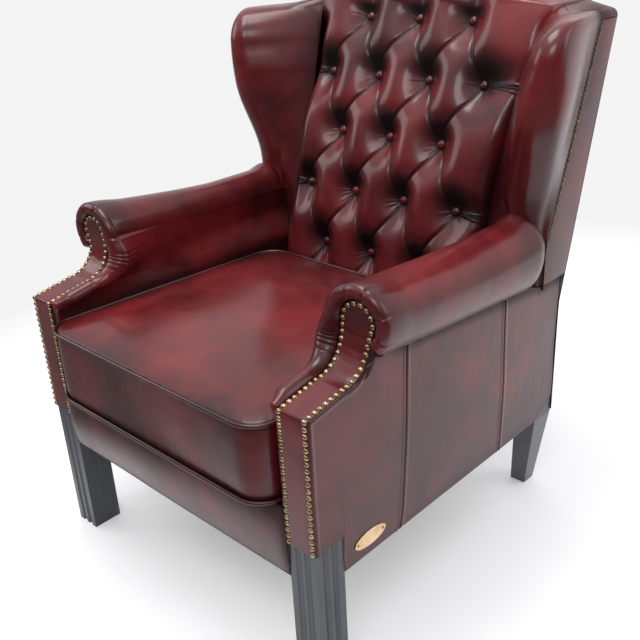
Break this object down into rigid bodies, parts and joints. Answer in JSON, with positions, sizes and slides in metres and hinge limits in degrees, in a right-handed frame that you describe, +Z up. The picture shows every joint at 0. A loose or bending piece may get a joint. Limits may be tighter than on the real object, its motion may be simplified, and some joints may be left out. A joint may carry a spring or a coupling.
{
  "type": "wing chair",
  "caption": "Wing chair with a deep-buttoned back, plain padded wings, scroll arms faced with nailed strips, a loose piped seat cushion and fluted square front legs.",
  "frame": {"origin": "centre of the bounding box in plan, on the floor plane under the feet", "axes": "+Z up, -Y towards the front of the chair, +X towards the sitter's left, the side that carries the oval plate"},
  "size_m": [0.7978, 0.8902, 1.045],
  "materials": {
    "leather": "antique oxblood, glossy, darker in the hollows",
    "dark_leather": "antique oxblood, glossy",
    "black_wood": "painted blue-black, satin",
    "pale_wood": "sawn beech, bare",
    "brass": "aged, softly polished",
    "steel": "zinc plated",
    "webbing": "woven jute",
    "black_cloth": "woven, matt"
  },
  "bodies": {
    "chair": {"front_leg_left": "black_wood", "front_leg_right": "black_wood", "rear_leg_left": "black_wood", "rear_leg_right": "black_wood", "front_rail": "pale_wood", "back_rail": "pale_wood", "side_rail_left": "pale_wood", "side_rail_right": "pale_wood", "corner_blocks": "pale_wood", "corner_bolts": "steel", "arm_post_left": "pale_wood", "arm_post_right": "pale_wood", "arm_rail_left": "pale_wood", "arm_rail_right": "pale_wood", "arm_board_left": "pale_wood", "arm_board_right": "pale_wood", "top_rail": "pale_wood", "tack_rail": "pale_wood", "wing_frame_left": "pale_wood", "wing_frame_right": "pale_wood", "seat_webbing": "webbing", "back_webbing": "webbing", "seat_deck": "black_cloth", "dust_cover": "black_cloth", "arm_roll_left": "leather", "arm_roll_right": "leather", "inside_arm_left": "leather", "inside_arm_right": "leather", "outside_arm_left": "leather", "outside_arm_right": "leather", "arm_facing_left": "leather", "arm_facing_right": "leather", "facing_nails_left": "brass", "facing_nails_right": "brass", "wing_nails_left": "brass", "wing_nails_right": "brass", "outside_wing_left": "leather", "outside_wing_right": "leather", "wing_pad_left": "leather", "wing_pad_right": "leather", "inside_back": "leather", "back_buttons": "dark_leather", "outside_back": "leather", "front_border": "leather", "oval_plate": "brass", "plate_pins": "brass"},
    "cushion": {"seat_cushion": "leather", "piping_lower": "dark_leather", "piping_upper": "dark_leather"}
  },
  "joints": [
    {"name": "cushion_slide", "type": "slide", "parent": "chair", "child": "cushion", "axis": [0, -1, 0], "range_m": [0, 0.62]}
  ]
}
